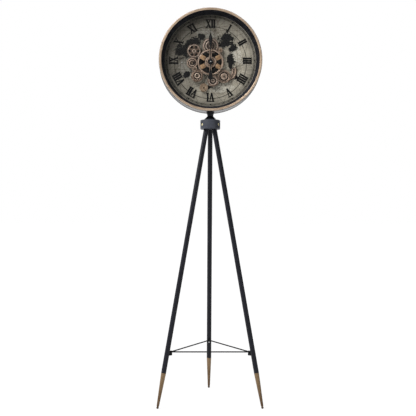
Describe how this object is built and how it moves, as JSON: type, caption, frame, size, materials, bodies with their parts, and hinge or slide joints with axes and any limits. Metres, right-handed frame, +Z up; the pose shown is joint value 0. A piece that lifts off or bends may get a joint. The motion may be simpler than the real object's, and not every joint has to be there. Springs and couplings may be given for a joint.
{
  "type": "tripod floor clock",
  "caption": "Round glazed clock head with open turning wheels, on a slender three-legged stand tied by a rod brace.",
  "frame": {"origin": "on the floor, below the middle of the bounding box", "axes": "+Z up, dial and front feet face -Y, +X to the right as the dial is read"},
  "size_m": [0.4062, 0.3529, 1.5383],
  "materials": {
    "black_metal": "satin black powder coat",
    "hub_metal": "satin charcoal enamel on a turned block",
    "rod_metal": "satin black wire rod",
    "rim_gold": "antique copper gold, brushed round",
    "ferrule_bronze": "antique bronze, darker towards the foot",
    "bolt_brass": "pale polished brass",
    "steel": "bright zinc",
    "plug_wood": "turned hardwood",
    "clear_glass": "clear flat glass",
    "ring_black": "matte black",
    "dial_paper": "aged parchment print on fibre board",
    "numeral_black": "matte black",
    "plate_black": "dark brown black",
    "wheel_copper": "antique copper plate, rubbed bright on its edges",
    "block_gold": "warm gold, satin",
    "medallion_tan": "light tan gold",
    "post_brass": "dull brass",
    "hand_black": "satin black",
    "cap_bright": "polished",
    "case_plastic": "moulded black",
    "switch_plastic": "moulded light grey",
    "nylon": "natural nylon",
    "motor_can": "plated can",
    "cell_jacket": "plain grey jacket"
  },
  "bodies": {
    "stand": {"leg_front_left": "black_metal", "leg_front_right": "black_metal", "leg_rear": "black_metal", "hub": "hub_metal", "leg_plugs": "plug_wood", "leg_bolts": "bolt_brass", "ferrules": "ferrule_bronze", "foot_tips": "ferrule_bronze", "brace_rod_front": "rod_metal", "brace_rod_left": "rod_metal", "brace_rod_right": "rod_metal", "brace_brackets": "rod_metal", "brace_screws": "steel", "neck_post": "black_metal", "saddle_plate": "rod_metal", "neck_bolt": "steel", "drum": "black_metal", "rim": "rim_gold", "glass": "clear_glass", "inner_ring": "ring_black", "dial": "dial_paper", "numerals": "numeral_black", "wheel_plate": "plate_black", "wheel_posts": "post_brass", "post_caps": "post_brass", "bridge_ring": "wheel_copper", "medallion": "medallion_tan", "movement_case": "case_plastic", "movement_cover": "case_plastic", "stem_nuts": "post_brass", "drive_case": "case_plastic", "drive_cover": "case_plastic", "drive_motor": "motor_can", "cells": "cell_jacket", "back_cover": "black_metal", "panel_screws": "steel"},
    "minute_hand": {"minute_hand": "hand_black", "minute_arbor": "steel", "hand_cap": "cap_bright"},
    "hour_hand": {"hour_hand": "hand_black", "hour_tube": "steel"},
    "motion_wheel": {"motion_wheel": "nylon"},
    "setting_knob": {"setting_knob": "case_plastic"},
    "main_wheel": {"main_wheel": "wheel_copper", "wheel_blocks": "block_gold"},
    "lower_right_wheel": {"lower_right_wheel": "wheel_copper", "drive_shaft": "steel"},
    "drive_switch": {"drive_switch": "switch_plastic"},
    "battery_door": {"battery_door": "case_plastic"},
    "upper_left_wheel": {"upper_left_wheel": "wheel_copper"},
    "left_wheel": {"left_wheel": "wheel_copper"},
    "lower_left_wheel": {"lower_left_wheel": "wheel_copper"},
    "bottom_wheel": {"bottom_wheel": "wheel_copper"},
    "pinion_wheel": {"pinion_wheel": "wheel_copper"},
    "top_wheel": {"top_wheel": "wheel_copper"},
    "small_wheel": {"small_wheel": "wheel_copper"},
    "motor_pinion": {"motor_pinion": "nylon"}
  },
  "joints": [
    {"name": "minute_hand_turn", "type": "hinge", "parent": "stand", "child": "minute_hand", "pos_m": [0, -0.05729, 1.328], "axis": [0, 1, 0], "continuous": true},
    {"name": "hour_hand_turn", "type": "hinge", "parent": "stand", "child": "hour_hand", "pos_m": [0, -0.05729, 1.328], "axis": [0, 1, 0], "continuous": true},
    {"name": "motion_wheel_turn", "type": "hinge", "parent": "stand", "child": "motion_wheel", "pos_m": [0, -0.05729, 1.34], "axis": [0, 1, 0], "continuous": true},
    {"name": "setting_knob_turn", "type": "hinge", "parent": "stand", "child": "setting_knob", "pos_m": [0.00905, -0.05729, 1.34905], "axis": [0, 1, 0], "continuous": true},
    {"name": "main_wheel_turn", "type": "hinge", "parent": "stand", "child": "main_wheel", "pos_m": [0, -0.05729, 1.328], "axis": [0, 1, 0], "continuous": true},
    {"name": "upper_left_wheel_turn", "type": "hinge", "parent": "stand", "child": "upper_left_wheel", "pos_m": [-0.06444, -0.05729, 1.37196], "axis": [0, 1, 0], "continuous": true},
    {"name": "left_wheel_turn", "type": "hinge", "parent": "stand", "child": "left_wheel", "pos_m": [-0.07189, -0.05729, 1.32398], "axis": [0, 1, 0], "continuous": true},
    {"name": "lower_left_wheel_turn", "type": "hinge", "parent": "stand", "child": "lower_left_wheel", "pos_m": [-0.05201, -0.05729, 1.27396], "axis": [0, 1, 0], "continuous": true},
    {"name": "bottom_wheel_turn", "type": "hinge", "parent": "stand", "child": "bottom_wheel", "pos_m": [0.00985, -0.05729, 1.25516], "axis": [0, 1, 0], "continuous": true},
    {"name": "lower_right_wheel_turn", "type": "hinge", "parent": "stand", "child": "lower_right_wheel", "pos_m": [0.05305, -0.05729, 1.27288], "axis": [0, 1, 0], "continuous": true},
    {"name": "pinion_wheel_turn", "type": "hinge", "parent": "stand", "child": "pinion_wheel", "pos_m": [0.038, -0.05729, 1.37443], "axis": [0, 1, 0], "continuous": true},
    {"name": "top_wheel_turn", "type": "hinge", "parent": "stand", "child": "top_wheel", "pos_m": [0, -0.05729, 1.39325], "axis": [0, 1, 0], "continuous": true},
    {"name": "small_wheel_turn", "type": "hinge", "parent": "stand", "child": "small_wheel", "pos_m": [-0.0625, -0.05729, 1.30046], "axis": [0, 1, 0], "continuous": true},
    {"name": "motor_pinion_turn", "type": "hinge", "parent": "stand", "child": "motor_pinion", "pos_m": [0.03305, -0.05729, 1.27288], "axis": [0, 1, 0], "continuous": true},
    {"name": "switch_slide", "type": "slide", "parent": "stand", "child": "drive_switch", "axis": [1, 0, 0], "range_m": [0, 0.003]},
    {"name": "battery_door_slide", "type": "slide", "parent": "stand", "child": "battery_door", "axis": [-1, 0, 0], "range_m": [0, 0.04]}
  ],
  "couplings": [
    {"joint": "hour_hand_turn", "follows": "minute_hand_turn", "ratio": 0.083333},
    {"joint": "motion_wheel_turn", "follows": "minute_hand_turn", "ratio": -0.25},
    {"joint": "setting_knob_turn", "follows": "minute_hand_turn", "ratio": 0.75},
    {"joint": "upper_left_wheel_turn", "follows": "main_wheel_turn", "ratio": -1.8889},
    {"joint": "left_wheel_turn", "follows": "main_wheel_turn", "ratio": -2.4286},
    {"joint": "lower_left_wheel_turn", "follows": "main_wheel_turn", "ratio": -2.125},
    {"joint": "bottom_wheel_turn", "follows": "main_wheel_turn", "ratio": -2.2667},
    {"joint": "lower_right_wheel_turn", "follows": "main_wheel_turn", "ratio": -2},
    {"joint": "pinion_wheel_turn", "follows": "main_wheel_turn", "ratio": -5.6667},
    {"joint": "top_wheel_turn", "follows": "main_wheel_turn", "ratio": -3.5789},
    {"joint": "small_wheel_turn", "follows": "main_wheel_turn", "ratio": 4.6042},
    {"joint": "motor_pinion_turn", "follows": "main_wheel_turn", "ratio": 8}
  ]
}
